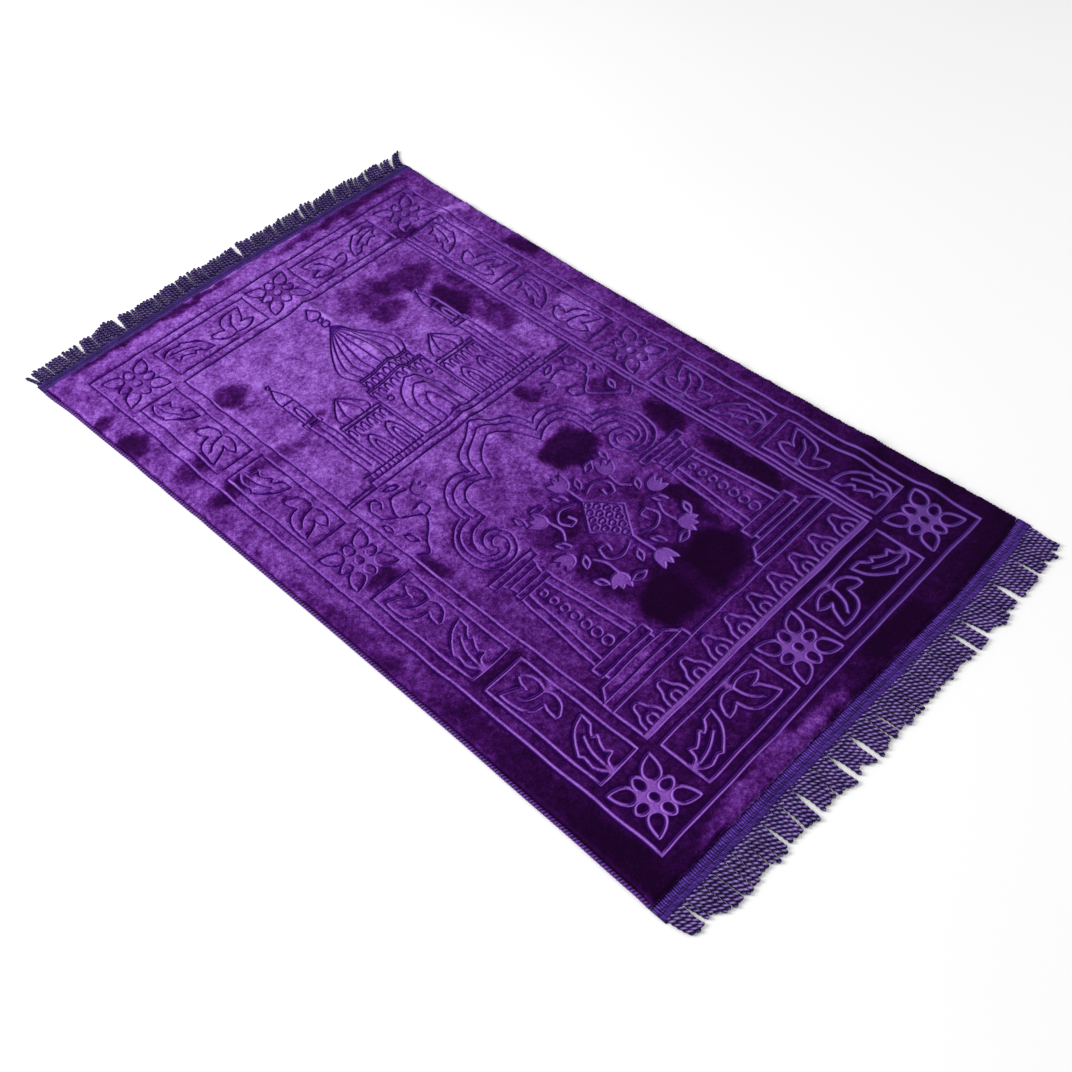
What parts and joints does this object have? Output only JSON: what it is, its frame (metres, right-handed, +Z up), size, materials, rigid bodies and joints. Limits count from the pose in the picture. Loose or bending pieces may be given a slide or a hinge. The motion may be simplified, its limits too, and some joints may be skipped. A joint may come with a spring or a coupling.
{
  "type": "prayer rug",
  "caption": "Flat plush prayer rug with pressed border, niche and pavilion pattern, overlocked long edges and a braided header with cord fringe at each end.",
  "frame": {"origin": "centre of the rug's footprint, on the floor", "axes": "+X across the rug, +Y along it towards the far end of the pattern, +Z up"},
  "size_m": [0.666, 1.132, 0.0114],
  "materials": {
    "violet_plush": "pressed long-pile velvet, deep violet, shot with light and dark where the pile lies",
    "overlock_thread": "close diagonal overlock stitches in blue-violet thread",
    "fringe_cord": "lustrous twisted rayon cord and knitted braid, dark blue-violet"
  },
  "bodies": {
    "root": {"pile_cloth": "violet_plush", "overlock_left": "overlock_thread", "overlock_right": "overlock_thread", "fringe_near": "fringe_cord", "fringe_far": "fringe_cord"}
  },
  "joints": []
}
